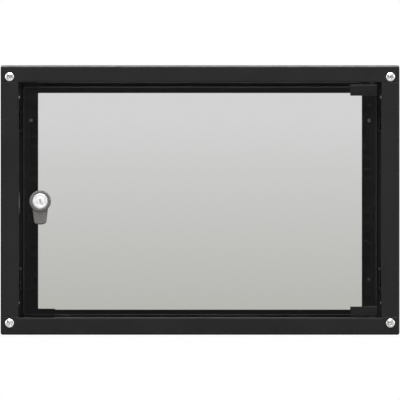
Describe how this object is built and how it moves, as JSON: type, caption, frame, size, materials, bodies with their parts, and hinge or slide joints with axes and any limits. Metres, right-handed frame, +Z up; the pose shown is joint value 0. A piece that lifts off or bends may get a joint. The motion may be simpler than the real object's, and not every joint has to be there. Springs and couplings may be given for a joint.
{
  "type": "wall mount network cabinet",
  "caption": "Wall mount cabinet for 19-inch network gear, with a hinged glass door, a cam lock, and set-back mounting rails.",
  "frame": {"origin": "centre of the four wall holes, on the back face that lies on the wall", "axes": "+Z up, +Y into the wall, so the glass door faces -Y, and +X to the right seen from the front"},
  "size_m": [0.552, 0.4578, 0.373],
  "materials": {
    "frame": "fine-textured black powder coat",
    "shell": "fine-textured black powder coat",
    "rail": "black powder coat",
    "bracket_steel": "zinc plated",
    "bright_screw": "nickel plated",
    "zinc": "zinc plated",
    "glass": "toughened float glass, ground edges",
    "grip": "moulded grey plastic",
    "lock_chrome": "satin chrome",
    "keeper": "moulded plastic",
    "clamp": "black coated zinc casting",
    "bush": "nylon",
    "soft_pad": "moulded"
  },
  "bodies": {
    "cabinet": {"front_top_rail": "frame", "front_bottom_rail": "frame", "front_left_stile": "frame", "front_right_stile": "frame", "corner_brackets": "bracket_steel", "front_frame_screws": "bright_screw", "stile_rivets": "bright_screw", "lock_keeper": "keeper", "door_stop": "frame", "door_stop_pad": "soft_pad", "door_stop_screw": "zinc", "top_panel": "shell", "bottom_panel": "shell", "left_side_panel": "shell", "right_side_panel": "shell", "side_panel_screws": "zinc", "rear_frame": "shell", "top_cable_cover": "shell", "cable_entry_edging": "soft_pad", "earth_stud": "zinc", "earth_nut": "zinc", "upper_pivot_bush": "bush", "lower_pivot_bush": "bush", "left_upper_rail_carrier": "shell", "left_lower_rail_carrier": "shell", "right_upper_rail_carrier": "shell", "right_lower_rail_carrier": "shell"},
    "door": {"door_glass": "glass", "lock_grip": "grip", "lock_barrel": "lock_chrome", "lock_washers": "soft_pad", "lock_nut": "zinc", "upper_hinge_clamp": "clamp", "upper_hinge_gaskets": "soft_pad", "upper_clamp_screws": "zinc", "upper_hinge_pin": "zinc", "lower_hinge_clamp": "clamp", "lower_hinge_gaskets": "soft_pad", "lower_clamp_screws": "zinc", "lower_hinge_pin": "zinc"},
    "lock": {"lock_plug": "lock_chrome", "lock_cam": "zinc", "cam_screw": "zinc"},
    "left_rail": {"left_mounting_rail": "rail", "left_rail_bolts": "zinc", "left_rail_nuts": "zinc"},
    "right_rail": {"right_mounting_rail": "rail", "right_rail_bolts": "zinc", "right_rail_nuts": "zinc"}
  },
  "joints": [
    {"name": "door_hinge", "type": "hinge", "parent": "cabinet", "child": "door", "pos_m": [0.238, -0.4445, 0], "axis": [0, 0, 1], "range_deg": [0, 135]},
    {"name": "lock_turn", "type": "hinge", "parent": "door", "child": "lock", "pos_m": [-0.221, -0.4324, -0.0015], "axis": [0, 1, 0], "range_deg": [0, 90]},
    {"name": "left_rail_slide", "type": "slide", "parent": "cabinet", "child": "left_rail", "axis": [0, 1, 0], "range_m": [0, 0.2]},
    {"name": "right_rail_slide", "type": "slide", "parent": "cabinet", "child": "right_rail", "axis": [0, 1, 0], "range_m": [0, 0.2]}
  ]
}
